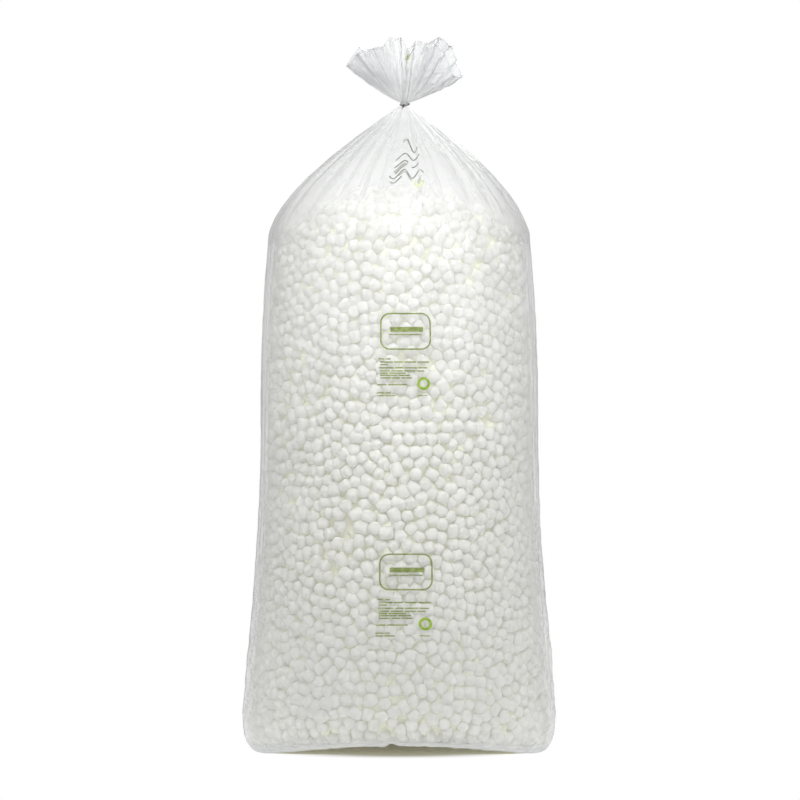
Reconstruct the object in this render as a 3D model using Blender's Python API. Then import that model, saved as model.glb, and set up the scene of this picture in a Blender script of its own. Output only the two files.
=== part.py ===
# A clear film sack of loose packing chips: a lay-flat tube of film, sealed at the foot and
# filled, then gathered at the neck and closed with a twist of wire. Metres, +Z up. The origin
# is on the floor under the middle of the sack, and its front faces -Y.
import math
import random
from collections import namedtuple

import bmesh
import bpy
from mathutils import Vector

# Foot of the sack: the flat that stands on the floor, and the rolled edge round it
CONTACT_HALF_WIDTH = 0.325
CONTACT_HALF_DEPTH = 0.170
FOOT_HALF_WIDTH = 0.373
FOOT_HALF_DEPTH = 0.288
FOOT_HEIGHT = 0.085
FOOT_LIFT = 0.032
FOOT_ROLL_POWER = 1.4

# Filled body, from the foot up to the shoulder; its taper ends at the waist
BODY_LENGTH = 1.160
WAIST_SHARE = 0.6
WAIST_POWER = 0.7
WAIST_HALF_WIDTH = 0.332
WAIST_HALF_DEPTH = 0.322
SHOULDER_HALF_WIDTH = 0.312
SHOULDER_HALF_DEPTH = 0.306
FOLD_STAND = 0.007

# Empty film above the chips, drawn in to the neck and packed with folds towards it
CONE_RISE = 0.300
CONE_STRAIGHTNESS = 0.27
PLEATS = 16
PLEAT_DEPTH = 0.010
PLEAT_MOST = 0.16
PLEAT_WEAKEST = 0.55
PACKING_START = 0.75
PACKING_MOST = 0.55
NECK_SHIFT = 0.013
NECK_RADIUS = 0.0090
NECK_HALF_LENGTH = 0.011
NECK_PLEAT = 0.11
NECK_FLARE = 1.2
CONE_END_FLARE = 1.5
THROAT_RADIUS = 0.0018

# Film
FILM_WALL = 0.0008
WALL_STRETCH_MOST = 3.0

# Loose mouth above the tie
FRILL_PLEAT = 0.22
FRILL_REACH = 0.140
FRILL_RISE = 0.167
FRILL_SPREAD_POWER = 0.9
FRILL_RISE_POWER = 1.1

# Chips: the heap they make, and the lumps of their surface, which stand for a few chips each
CHIP_CLEARANCE = 0.0003
CHIP_SIDE_CLEARANCE = 0.004
CHIP_RIM_SHARE = 0.15
CHIP_HEAP_RISE = 0.074
CHIP_HEAP_POWER = 0.5
CHIP_FOOT_SHARE = 0.55
CHIP_LUMP = 0.0380
CHIP_LUMP_DEPTH = 0.012
LUMP_SCATTER = 0.3
LUMP_CORNER_SINK = (0.5, 1.0)
LUMP_MIDDLE_SINK = (0.0, 0.6)

# Wire tie: its ring dips at the front, where its ends are twisted together and droop
WIRE_DIAMETER = 0.0028
WIRE_CLEARANCE = 0.0003
WIRE_DIP = 0.0035
WIRE_GAP_TURN = math.radians(24)
TAIL_TURN = math.radians(-8)
TAIL_LENGTH = 0.012
TAIL_DROOP = 0.3
TWIST_COUNT = 2

# How finely the surfaces are divided, and the levels at which the film is shaped
COLUMNS_PER_PLEAT = 4
COLUMNS = PLEATS * COLUMNS_PER_PLEAT
FOOT_SHARES = (0.0, 0.42, 0.72)
BODY_SHARES = (0.0, 0.12, 0.28, 0.5, 0.78, 1.0)
CONE_SHARES = (0.10, 0.22, 0.38, 0.54, 0.70, 0.84, 0.94)
FRILL_SHARES = (0.22, 0.48, 0.75, 1.0)
FRILL_PACKING = (0.45, 0.10, 0.0, 0.0)
WIRE_STEPS_PER_TURN = 8
WIRE_RING_STEPS = 24
FOLD_SHARP_ANGLE = math.radians(30)
PLEAT_SEED = 7
LUMP_SEED = 11

SHOULDER_HEIGHT = FOOT_HEIGHT + BODY_LENGTH
NECK_HEIGHT = SHOULDER_HEIGHT + CONE_RISE + NECK_HALF_LENGTH

# One level of the sack: an oval at a height, how far its front and back are lifted, how far
# the side folds stand out, how deep the pleats are as a share of the radius, how much film is
# packed inside it, and how far it leans to +X
Level = namedtuple("Level", "half_width half_depth height lift fold pleat packed lean")

# The mouth's edge, seen from above and going round from +X: how far it reaches to the side and
# to the back as shares of FRILL_REACH, and how high it stands as a share of FRILL_RISE
MOUTH_EDGE = (
    (0.99, 0.00, 0.38), (0.88, 0.21, 0.63), (0.78, 0.39, 0.88), (0.60, 0.50, 1.00),
    (0.42, 0.56, 0.91), (0.17, 0.58, 0.90), (0.05, 0.54, 0.72), (-0.06, 0.57, 0.98),
    (-0.28, 0.56, 1.00), (-0.38, 0.53, 0.86), (-0.60, 0.44, 0.80), (-0.76, 0.32, 0.85),
    (-1.00, 0.00, 0.54), (-0.80, -0.28, 0.71), (-0.57, -0.44, 0.77), (-0.32, -0.54, 0.81),
    (-0.07, -0.57, 0.90), (0.05, -0.54, 0.70), (0.18, -0.57, 0.85), (0.44, -0.53, 0.83),
    (0.68, -0.39, 0.72), (0.82, -0.21, 0.40),
)


def clear_scene():
    for old in list(bpy.data.objects):
        bpy.data.objects.remove(old, do_unlink=True)


def new_collection(name):
    collection = bpy.data.collections.new(name)
    bpy.context.scene.collection.children.link(collection)
    return collection


def new_material(name, colour, roughness, metallic=0.0, alpha=1.0):
    material = bpy.data.materials.new(name)
    material.use_nodes = True
    shader = material.node_tree.nodes["Principled BSDF"]
    shader.inputs["Base Color"].default_value = (*colour, 1.0)
    shader.inputs["Roughness"].default_value = roughness
    shader.inputs["Metallic"].default_value = metallic
    shader.inputs["Alpha"].default_value = alpha
    return material


def add_object(name, data, collection, material):
    data.materials.append(material)
    piece = bpy.data.objects.new(name, data)
    collection.objects.link(piece)
    return piece


def blend(low, high, share):
    return low + (high - low) * share


def ease(share):
    return share * share * (3.0 - 2.0 * share)


def body_level(share):
    """An oval of the filled body, from the foot at 0 to the shoulder at 1."""
    lower = ease(min(share / WAIST_SHARE, 1.0) ** WAIST_POWER)
    upper = max((share - WAIST_SHARE) / (1.0 - WAIST_SHARE), 0.0) ** 2
    return Level(
        blend(blend(FOOT_HALF_WIDTH, WAIST_HALF_WIDTH, lower), SHOULDER_HALF_WIDTH, upper),
        blend(blend(FOOT_HALF_DEPTH, WAIST_HALF_DEPTH, lower), SHOULDER_HALF_DEPTH, upper),
        blend(FOOT_HEIGHT, SHOULDER_HEIGHT, share),
        FOOT_LIFT * (1.0 - lower),
        FOLD_STAND, 0.0, 0.0, 0.0,
    )


def foot_level(share):
    """An oval of the rolled edge, from the flat on the floor at 0 to the foot at 1."""
    turn = share * math.pi / 2
    return Level(
        blend(CONTACT_HALF_WIDTH, FOOT_HALF_WIDTH, math.sin(turn)),
        blend(CONTACT_HALF_DEPTH, FOOT_HALF_DEPTH, math.sin(turn)),
        FOOT_HEIGHT * (1.0 - math.cos(turn)) ** FOOT_ROLL_POWER,
        FOOT_LIFT * ease(share),
        FOLD_STAND, 0.0, 0.0, 0.0,
    )


def cone_level(share):
    """An oval of the empty film, from the shoulder at 0 to just under the neck at 1."""
    radius_share = blend(math.cos(share * math.pi / 2), 1.0 - share, CONE_STRAIGHTNESS)
    half_width = blend(NECK_RADIUS * CONE_END_FLARE, SHOULDER_HALF_WIDTH, radius_share)
    deepening = ease(min(share * 2.0, 1.0))
    packing = max(0.0, (share - PACKING_START) / (1.0 - PACKING_START)) ** 2
    return Level(
        half_width,
        blend(NECK_RADIUS * CONE_END_FLARE, SHOULDER_HALF_DEPTH, radius_share),
        SHOULDER_HEIGHT + CONE_RISE * share,
        0.0,
        FOLD_STAND * (1.0 - share),
        min(PLEAT_DEPTH * deepening / half_width, PLEAT_MOST),
        PACKING_MOST * packing,
        NECK_SHIFT * ease(share),
    )


def neck_level(side):
    """The neck's lower end at -1, its waist under the wire at 0 or its upper end at 1."""
    radius = NECK_RADIUS * blend(1.0, NECK_FLARE, abs(side))
    height = NECK_HEIGHT + NECK_HALF_LENGTH * side
    return Level(radius, radius, height, 0.0, 0.0, NECK_PLEAT, 1.0, NECK_SHIFT)


def column_turn(column):
    return 2 * math.pi * column / COLUMNS


def pleat_strengths():
    draw = random.Random(PLEAT_SEED)
    return [draw.uniform(PLEAT_WEAKEST, 1.0) for _ in range(PLEATS)]


def pleat_wave(column, strengths):
    """Ridge, flank, valley, flank round the sack, each pleat with its own strength."""
    pleat = column // COLUMNS_PER_PLEAT % PLEATS
    phase = 2 * math.pi * (column % COLUMNS_PER_PLEAT) / COLUMNS_PER_PLEAT
    return math.cos(phase) * strengths[pleat]


def level_ring(level, strengths):
    ring = []
    for column in range(COLUMNS):
        side = math.cos(column_turn(column))
        depth = math.sin(column_turn(column))
        swell = 1.0 - level.pleat * (1.0 - pleat_wave(column, strengths)) / 2
        on_side_fold = column % (COLUMNS // 2) == 0
        half_width = level.half_width - (0.0 if on_side_fold else level.fold)
        ring.append(Vector((
            level.lean + half_width * side * swell,
            level.half_depth * depth * swell,
            level.height + level.lift * depth * depth,
        )))
    return ring


def mouth_edge_point(turn_share):
    """A point of the mouth's edge, read smoothly between the listed ones."""
    count = len(MOUTH_EDGE)
    place = turn_share * count
    index = int(place)
    before = Vector(MOUTH_EDGE[index % count])
    after = Vector(MOUTH_EDGE[(index + 1) % count])
    point = before.lerp(after, ease(place - index))
    return Vector((point.x * FRILL_REACH, point.y * FRILL_REACH, point.z * FRILL_RISE))


def frill_ring(share, strengths):
    top_of_neck = Vector((NECK_SHIFT, 0.0, NECK_HEIGHT + NECK_HALF_LENGTH))
    start_radius = NECK_RADIUS * NECK_FLARE
    ring = []
    for column in range(COLUMNS):
        turn = column_turn(column)
        edge = mouth_edge_point(column / COLUMNS)
        swell = 1.0 - FRILL_PLEAT * (1.0 - pleat_wave(column, strengths))
        start = Vector((math.cos(turn), math.sin(turn), 0.0)) * start_radius
        reach = Vector((edge.x * swell, edge.y * swell, 0.0))
        rise = (edge.z - NECK_HALF_LENGTH) * share ** FRILL_RISE_POWER
        spread = start.lerp(reach, share ** FRILL_SPREAD_POWER)
        ring.append(top_of_neck + spread + Vector((0.0, 0.0, rise)))
    return ring


def outer_rings():
    """The film's outside from the foot to the mouth, and how packed each ring is."""
    strengths = pleat_strengths()
    levels = [foot_level(share) for share in FOOT_SHARES]
    levels += [body_level(share) for share in BODY_SHARES]
    levels += [cone_level(share) for share in CONE_SHARES]
    levels += [neck_level(side) for side in (-1, 0, 1)]
    rings = [level_ring(level, strengths) for level in levels]
    rings += [frill_ring(share, strengths) for share in FRILL_SHARES]
    packed = [level.packed for level in levels] + list(FRILL_PACKING)
    return rings, packed


def inner_ring(rings, index, packed):
    """The film's inside at one level: square to its outside, or packed down to the throat."""
    ring = rings[index]
    below = rings[max(index - 1, 0)]
    above = rings[min(index + 1, len(rings) - 1)]
    centre = sum(ring, Vector()) / COLUMNS
    inside = []
    for column, point in enumerate(ring):
        outward = Vector((point.x - centre.x, point.y - centre.y, 0.0)).normalized()
        rise = above[column] - below[column]
        square = (outward * rise.z - Vector((0, 0, 1)) * rise.dot(outward)).normalized()
        step = ring[(column + 1) % COLUMNS] - ring[column - 1]
        across = (step - outward * step.dot(outward)).length
        stretch = min(step.length / max(across, FILM_WALL), WALL_STRETCH_MOST)
        wall_point = point - square * FILM_WALL * stretch
        throat_point = Vector((centre.x, centre.y, point.z)) + outward * THROAT_RADIUS
        inside.append(wall_point.lerp(throat_point, packed))
    return inside


def add_ring(mesh, points):
    return [mesh.verts.new(point) for point in points]


def join_rings(mesh, lower, upper, falling=False):
    """Triangles between two rings; both walls of the film slant the same way."""
    for column in range(len(lower)):
        after = (column + 1) % len(lower)
        if falling:
            mesh.faces.new((lower[column], lower[after], upper[column]))
            mesh.faces.new((lower[after], upper[after], upper[column]))
        else:
            mesh.faces.new((lower[column], lower[after], upper[after]))
            mesh.faces.new((lower[column], upper[after], upper[column]))


def build_film_bag(collection):
    rings, packed = outer_rings()
    inside = [inner_ring(rings, index, packed[index]) for index in range(len(rings))]
    floor_share = 1.0 - FILM_WALL / CONTACT_HALF_DEPTH
    inside[0] = [Vector((p.x * floor_share, p.y * floor_share, FILM_WALL)) for p in rings[0]]
    mesh = bmesh.new()
    outer = [add_ring(mesh, ring) for ring in rings]
    inner = [add_ring(mesh, ring) for ring in reversed(inside)]
    mesh.faces.new(list(reversed(outer[0])))
    for lower, upper in zip(outer, outer[1:]):
        join_rings(mesh, lower, upper)
    join_rings(mesh, outer[-1], inner[0])
    for upper, lower in zip(inner, inner[1:]):
        join_rings(mesh, upper, lower, falling=True)
    mesh.faces.new(inner[-1])
    data = bpy.data.meshes.new("film_bag")
    mesh.to_mesh(data)
    mesh.free()
    data.shade_smooth()
    data.set_sharp_from_angle(angle=FOLD_SHARP_ANGLE)
    material = new_material("clear_film", (0.93, 0.95, 0.95), 0.18, alpha=0.3)
    return add_object("film_bag", data, collection, material)


def fill_level(height):
    """The chips' oval at a height between their foot and the rim of the heap."""
    above_shoulder = height - SHOULDER_HEIGHT
    if above_shoulder > 0.0:
        level = cone_level(above_shoulder / CONE_RISE)
    else:
        level = body_level(max(height - FOOT_HEIGHT, 0.0) / BODY_LENGTH)
    valley = 1.0 - level.pleat
    return level._replace(
        half_width=level.half_width * valley - FOLD_STAND - FILM_WALL - CHIP_SIDE_CLEARANCE,
        half_depth=level.half_depth * valley - FILM_WALL - CHIP_SIDE_CLEARANCE,
    )


def fill_foot_levels():
    """The rolled edge of the chips, and the flat they stand on inside the film."""
    rolled = foot_level(CHIP_FOOT_SHARE)
    return [
        rolled._replace(
            half_width=rolled.half_width - FOLD_STAND - CHIP_SIDE_CLEARANCE * 2,
            half_depth=rolled.half_depth - CHIP_SIDE_CLEARANCE * 3,
            height=rolled.height + CHIP_SIDE_CLEARANCE * 2,
        ),
        foot_level(0.0)._replace(
            half_width=CONTACT_HALF_WIDTH - CHIP_SIDE_CLEARANCE * 3,
            half_depth=CONTACT_HALF_DEPTH - CHIP_SIDE_CLEARANCE * 3,
            height=FILM_WALL + CHIP_CLEARANCE,
        ),
    ]


def heap_point(u, v, edge):
    """A point of the heap's top: a square patch bent to an oval and raised to a dome."""
    side = u * math.sqrt(1.0 - v * v / 2)
    depth = v * math.sqrt(1.0 - u * u / 2)
    from_middle = min(side * side + depth * depth, 1.0)
    rise = CHIP_HEAP_RISE * (1.0 - from_middle) ** CHIP_HEAP_POWER
    return Vector((
        edge.lean + edge.half_width * side,
        edge.half_depth * depth,
        edge.height + rise,
    ))


def fill_ring(level, turns):
    return [Vector((
        level.lean + level.half_width * math.cos(turn),
        level.half_depth * math.sin(turn),
        level.height + level.lift * math.sin(turn) ** 2,
    )) for turn in turns]


def add_heap_top(mesh, edge):
    """The heap's top. Gives its rim in order round the sack, and the turn of each rim point."""
    patch = round(math.pi * (WAIST_HALF_WIDTH + WAIST_HALF_DEPTH) / 4 / CHIP_LUMP)
    bmesh.ops.create_grid(mesh, x_segments=patch, y_segments=patch, size=1.0)
    for vertex in mesh.verts:
        vertex.co = heap_point(vertex.co.x, vertex.co.y, edge)
    turns = {
        vertex: math.atan2(vertex.co.y / edge.half_depth, (vertex.co.x - edge.lean) / edge.half_width)
        for vertex in mesh.verts if vertex.is_boundary
    }
    rim = sorted(turns, key=turns.get)
    return rim, [turns[vertex] for vertex in rim]


def lump_chips(mesh):
    """Sinks the corners between the lumps, so that each cell stands up as one."""
    draw = random.Random(LUMP_SEED)
    mesh.normal_update()
    mesh.verts.index_update()
    lumps = [
        face for face in mesh.faces
        if len(face.verts) == 4 and face.calc_center_median().z > FOOT_HEIGHT
    ]
    corners = {vertex for face in lumps for vertex in face.verts}
    corners = sorted(corners, key=lambda vertex: vertex.index)
    middles = bmesh.ops.poke(mesh, faces=lumps)["verts"]
    mesh.normal_update()
    moves = []
    for vertices, sinks in ((corners, LUMP_CORNER_SINK), (middles, LUMP_MIDDLE_SINK)):
        for vertex in vertices:
            sideways = Vector([draw.uniform(-1, 1) for _ in range(3)]) * CHIP_LUMP * LUMP_SCATTER
            sideways -= vertex.normal * sideways.dot(vertex.normal)
            sink = draw.uniform(*sinks) * CHIP_LUMP_DEPTH
            moves.append((vertex, sideways - vertex.normal * sink))
    for vertex, move in moves:
        vertex.co += move


def build_chip_fill(collection):
    rim_height = SHOULDER_HEIGHT + CONE_RISE * CHIP_RIM_SHARE
    rows = round((rim_height - FOOT_HEIGHT) / CHIP_LUMP)
    levels = [fill_level(blend(rim_height, FOOT_HEIGHT, row / rows)) for row in range(1, rows + 1)]
    levels += fill_foot_levels()
    mesh = bmesh.new()
    upper, turns = add_heap_top(mesh, fill_level(rim_height))
    half_step = math.pi / len(turns)
    for row, level in enumerate(levels):
        stagger = half_step if row % 2 == 0 else 0.0
        lower = add_ring(mesh, fill_ring(level, [turn + stagger for turn in turns]))
        for column, vertex in enumerate(lower):
            after = (column + 1) % len(lower)
            mesh.faces.new((vertex, lower[after], upper[after], upper[column]))
        upper = lower
    mesh.faces.new(list(reversed(upper)))
    lump_chips(mesh)
    data = bpy.data.meshes.new("chip_fill")
    mesh.to_mesh(data)
    mesh.free()
    material = new_material("foam_chips", (0.93, 0.93, 0.90), 0.75)
    return add_object("chip_fill", data, collection, material)


def tail_points(side, start, out, across):
    """One end of the wire, wound round the other as both run out from the ring."""
    up = across.cross(out)
    steps = TWIST_COUNT * WIRE_STEPS_PER_TURN
    points = []
    for step in range(steps + 1):
        share = step / steps
        turn = 2 * math.pi * TWIST_COUNT * share
        swing = (across * math.cos(turn) + up * math.sin(turn)) * side
        twist_radius = WIRE_DIAMETER / 2 + WIRE_CLEARANCE
        points.append(start + out * TAIL_LENGTH * share + swing * twist_radius)
    return points


def build_tie_wire(collection):
    """A ring of wire round the neck, whose ends are twisted together at the front."""
    neck_growth = (NECK_FLARE - 1.0) * WIRE_DIP / NECK_HALF_LENGTH
    ring_radius = NECK_RADIUS * (1.0 + neck_growth) + WIRE_CLEARANCE + WIRE_DIAMETER / 2
    front = Vector((math.sin(TAIL_TURN), -math.cos(TAIL_TURN), 0.0))
    across = Vector((-front.y, front.x, 0.0))
    centre = Vector((NECK_SHIFT, 0.0, NECK_HEIGHT))
    ring = []
    for step in range(WIRE_RING_STEPS + 1):
        turn = blend(WIRE_GAP_TURN, 2 * math.pi - WIRE_GAP_TURN, step / WIRE_RING_STEPS)
        level = Vector((0.0, 0.0, -WIRE_DIP * math.cos(turn)))
        ring.append(centre + (front * math.cos(turn) + across * math.sin(turn)) * ring_radius + level)
    out = (front - Vector((0.0, 0.0, TAIL_DROOP))).normalized()
    start = centre + front * (ring_radius + WIRE_DIAMETER * 2) - Vector((0.0, 0.0, WIRE_DIP))
    near_tail = tail_points(1.0, start, out, across)
    far_tail = tail_points(-1.0, start, out, across)
    points = list(reversed(near_tail)) + ring + far_tail
    curve = bpy.data.curves.new("tie_wire", "CURVE")
    curve.dimensions = "3D"
    curve.bevel_depth = WIRE_DIAMETER / 2
    curve.bevel_resolution = 1
    curve.use_fill_caps = True
    spline = curve.splines.new("POLY")
    spline.points.add(len(points) - 1)
    for target, point in zip(spline.points, points):
        target.co = (*point, 1.0)
    material = new_material("dark_wire", (0.05, 0.05, 0.04), 0.45, metallic=0.6)
    return add_object("tie_wire", curve, collection, material)


clear_scene()
sack = new_collection("packing_peanut_bag")
build_film_bag(sack)
build_chip_fill(sack)
build_tie_wire(sack)
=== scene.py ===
import math
import random
from bisect import bisect_right

import bmesh
import bpy
import numpy as np
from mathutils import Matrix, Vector, noise
from mathutils.kdtree import KDTree


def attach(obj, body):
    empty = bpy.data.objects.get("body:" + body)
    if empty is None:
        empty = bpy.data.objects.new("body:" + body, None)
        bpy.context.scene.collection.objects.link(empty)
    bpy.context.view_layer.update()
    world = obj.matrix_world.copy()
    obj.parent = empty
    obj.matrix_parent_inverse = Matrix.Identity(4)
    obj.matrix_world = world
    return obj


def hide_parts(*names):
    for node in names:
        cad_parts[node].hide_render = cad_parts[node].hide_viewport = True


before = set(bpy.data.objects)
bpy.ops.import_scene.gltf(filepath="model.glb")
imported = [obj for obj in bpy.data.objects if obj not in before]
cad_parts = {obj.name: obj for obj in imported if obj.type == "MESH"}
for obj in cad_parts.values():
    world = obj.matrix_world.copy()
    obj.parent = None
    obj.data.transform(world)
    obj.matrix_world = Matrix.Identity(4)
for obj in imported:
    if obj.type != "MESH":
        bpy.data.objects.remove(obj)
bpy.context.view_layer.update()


# The film bag.
# One lay-flat tube of thin, slightly milky polyethylene film, sealed at its foot. It stands on
# that foot, swells round the peanuts, and above them is drawn in to the neck and flares again.
FOOT_STAND = (0.295, 0.060)
FOOT_CONTACT = (0.322, 0.170)
FOOT_OVAL = (0.373, 0.288)
FOOT_HEIGHT = 0.085
FOOT_LIFT = 0.032
FOOT_ROLL_POWER = 1.4
WAIST_OVAL = (0.332, 0.322)
WAIST_SHARE = 0.6
WAIST_POWER = 0.7
SHOULDER_OVAL = (0.312, 0.306)
SHOULDER_HEIGHT = 1.245
SIDE_FOLD_STAND = 0.007
CONE_RISE = 0.307
CONE_STRAIGHTNESS = 0.27
NECK_LEAN = 0.013
NECK_RADIUS = 0.0088
NECK_HALF_LENGTH = 0.004
NECK_HEIGHT = SHOULDER_HEIGHT + CONE_RISE + NECK_HALF_LENGTH
FRILL_REACH = 0.140
FRILL_RISE = 0.167
FILM_COLUMNS = 288
FLAT_COLUMN = 2.05 / FILM_COLUMNS
FILM_WALL = 0.0003
FILM_CLEARNESS = 0.930

# The mouth's edge from above, round from +X: sideways and back as shares of the reach, and height
MOUTH_EDGE = (
    (0.99, 0.00, 0.38), (0.88, 0.21, 0.63), (0.78, 0.39, 0.88), (0.60, 0.50, 1.00),
    (0.42, 0.56, 0.91), (0.17, 0.58, 0.90), (0.05, 0.54, 0.79), (-0.06, 0.57, 0.98),
    (-0.28, 0.56, 1.00), (-0.38, 0.53, 0.86), (-0.60, 0.44, 0.80), (-0.76, 0.32, 0.85),
    (-1.00, 0.00, 0.54), (-0.80, -0.28, 0.71), (-0.57, -0.44, 0.77), (-0.32, -0.54, 0.81),
    (-0.07, -0.57, 0.92), (0.05, -0.565, 0.76), (0.18, -0.57, 0.86), (0.44, -0.53, 0.83),
    (0.68, -0.39, 0.72), (0.82, -0.21, 0.40),
)


def blend(low, high, share):
    return low + (high - low) * share


def ease(share):
    share = min(max(share, 0.0), 1.0)
    return share * share * (3.0 - 2.0 * share)


def oval_between(low, high, share):
    """Half width and half depth of an oval between two others."""
    return (blend(low[i], high[i], share) for i in (0, 1))


def body_oval(share):
    """Half width, half depth, height and lift of the filled body, foot to shoulder."""
    lower = ease(min(share / WAIST_SHARE, 1.0) ** WAIST_POWER)
    upper = max((share - WAIST_SHARE) / (1.0 - WAIST_SHARE), 0.0) ** 2
    tapered = tuple(oval_between(FOOT_OVAL, WAIST_OVAL, lower))
    width, depth = oval_between(tapered, SHOULDER_OVAL, upper)
    return width, depth, blend(FOOT_HEIGHT, SHOULDER_HEIGHT, share), FOOT_LIFT * (1.0 - lower)


def under_oval(share):
    """The underside, from the strip it stands on out to the edge, which arches up at the front."""
    width, depth = oval_between(FOOT_STAND, FOOT_CONTACT, share)
    return width, depth, 0.0, FOOT_LIFT * share ** 2


def foot_oval(share):
    """The rolled edge, from the underside out and up to the foot."""
    turn = share * math.pi / 2
    width, depth = oval_between(FOOT_CONTACT, FOOT_OVAL, math.sin(turn))
    return width, depth, FOOT_HEIGHT * (1.0 - math.cos(turn)) ** FOOT_ROLL_POWER, FOOT_LIFT


def cone_oval(share):
    """The empty film, from the shoulder to just under the neck."""
    spread = blend(math.cos(share * math.pi / 2), 1.0 - share, CONE_STRAIGHTNESS)
    width, depth = (blend(NECK_RADIUS * 1.5, SHOULDER_OVAL[i], spread) for i in (0, 1))
    return width, depth, SHOULDER_HEIGHT + CONE_RISE * share, 0.0


# Where the cone's pleats meet the shoulder, in degrees from the middle of the front, how sharp
# each one is, and how far up the cone the film between it and the next one bellies out
PLEAT_LINES = (
    (-172, 0.6, 0.05), (-151, 0.9, 0.12), (-128, 0.5, 0.03), (-110, 1.0, 0.10), (-92, 0.7, 0.02),
    (-80, 0.9, 0.08), (-64, 0.8, 0.02), (-47, 0.5, 0.12), (-33, 0.7, 0.05), (-21, 0.9, 0.02),
    (-13, 1.0, 0.04), (3, 0.5, 0.09), (12, 0.9, 0.07), (23, 1.0, 0.02), (39, 1.0, 0.05),
    (50, 0.7, 0.02), (59, 1.0, 0.05), (74, 0.8, 0.03), (88, 0.9, 0.08), (101, 0.6, 0.02),
    (119, 1.0, 0.10), (138, 0.6, 0.04), (160, 0.9, 0.02),
)
PLEAT_TURNS = [math.radians(line[0] + 270.0) for line in PLEAT_LINES]
FRONT_START = PLEAT_TURNS[0]


def pleat_at(turn):
    """How far a point is sunk between two ridges, how far across that panel it is, and the
    panel's sharpness and belly."""
    turn = (turn - FRONT_START) % (2 * math.pi) + FRONT_START
    pleat = bisect_right(PLEAT_TURNS, turn) - 1
    start = PLEAT_TURNS[pleat]
    end = PLEAT_TURNS[pleat + 1] if pleat + 1 < len(PLEAT_TURNS) else FRONT_START + 2 * math.pi
    across = (turn - start) / (end - start)
    before = PLEAT_LINES[pleat]
    after = PLEAT_LINES[(pleat + 1) % len(PLEAT_LINES)]
    sunk = 1.0 - math.sin(math.pi * across) ** 0.6
    return sunk, across, blend(before[1], after[1], across), before[2]


def mouth_edge_point(turn):
    count = len(MOUTH_EDGE)
    place = (turn / (2 * math.pi) % 1.0) * count
    index = int(place) % count
    before = Vector(MOUTH_EDGE[index])
    after = Vector(MOUTH_EDGE[(index + 1) % count])
    point = before.lerp(after, ease(place - int(place)))
    return Vector((point.x * FRILL_REACH, point.y * FRILL_REACH, point.z * FRILL_RISE))


def from_side(turn):
    """Angle to the nearer side fold, the crease down the bag's left and right."""
    turn %= math.pi
    return min(turn, math.pi - turn)


# The frill's soft and fine folds, and its crumples: their size, and how high they stand on the
# left lobe and on the more crumpled right one
SOFT_FOLD = 0.022
FINE_FOLD = 0.005
CRUMPLES = ((0.020, 0.0015, 0.0050), (0.008, 0.0004, 0.0022))
CRUMPLE_SEED = 8
noise.seed_set(CRUMPLE_SEED)


def frill_point(turn, share):
    """The loose mouth: two lobes with soft folds from the neck, crumpled towards the edge."""
    sunk, _, sharp, _ = pleat_at(turn)
    edge = mouth_edge_point(turn)
    side, depth = math.cos(turn), math.sin(turn)
    start = Vector((side, depth, 0.0)) * NECK_RADIUS * 1.1
    swell = 1.0 - 0.14 * sunk * sharp * (1.0 - share) ** 2.4
    reach = Vector((edge.x * swell, edge.y * swell, 0.0))
    top = Vector((NECK_LEAN, 0.0, NECK_HEIGHT + NECK_HALF_LENGTH))
    rise = (edge.z - NECK_HALF_LENGTH) * share ** 1.1
    point = top + start.lerp(reach, share ** 0.9) + Vector((0.0, 0.0, rise))
    crumpled = ease((side + 0.30) / 0.5)
    folds = noise.noise(Vector((turn * blend(3.2, 6.0, crumpled), share * 0.7, 4.0)))
    fine = noise.noise(Vector((turn * 11.0, share * 1.6, 9.0)))
    away = Vector((0.25 * side, depth + math.copysign(0.15, depth), 0.0))
    off_middle = 1.0 - 0.6 * math.exp(-(side / 0.25) ** 2)
    point += away * (folds * SOFT_FOLD + fine * FINE_FOLD) * off_middle * share ** 0.8
    crush = Vector((0.0, 0.0, 0.0))
    for size, left, right in CRUMPLES:
        crush += noise.noise_vector(point / size) * blend(left, right, crumpled)
    return point + crush * ease((share - 0.15) / 0.6)


# The arched lower edge: how far it sags between the chips, and where its tuck is, and how wide
# and high, the first two as shares of the half width
EDGE_SAG = 0.009
TUCK_PLACE = -0.055
TUCK_WIDTH = 0.030
TUCK_RISE = 0.009


def edge_sag(turn, part, share):
    """How far the arched lower edge sags between chips, and rises at its one small tuck."""
    near_edge = {"under": share ** 3, "foot": 1.0 - ease(share / 0.6)}.get(part, 0.0)
    side, depth = math.cos(turn), math.sin(turn)
    sag = abs(noise.noise(Vector((turn * 11.0, 1.0, 6.0)))) * EDGE_SAG
    tuck = math.exp(-((side - TUCK_PLACE) / TUCK_WIDTH) ** 2) * TUCK_RISE if depth < 0.0 else 0.0
    return (sag - tuck) * near_edge * depth * depth


def neck_point(turn, share):
    sunk, _, sharp, _ = pleat_at(turn)
    radius = NECK_RADIUS * blend(1.0, 1.15, share * share) * (1.0 - 0.4 * sunk * sharp)
    height = NECK_HEIGHT + NECK_HALF_LENGTH * share
    return Vector((NECK_LEAN + radius * math.cos(turn), radius * math.sin(turn), height))


# How deep the cone's pleats sink, how high the scallops at their feet and the film's slack stand
PLEAT_SINK = 0.017
SCALLOP = 0.005
SLACK = 0.006


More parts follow.
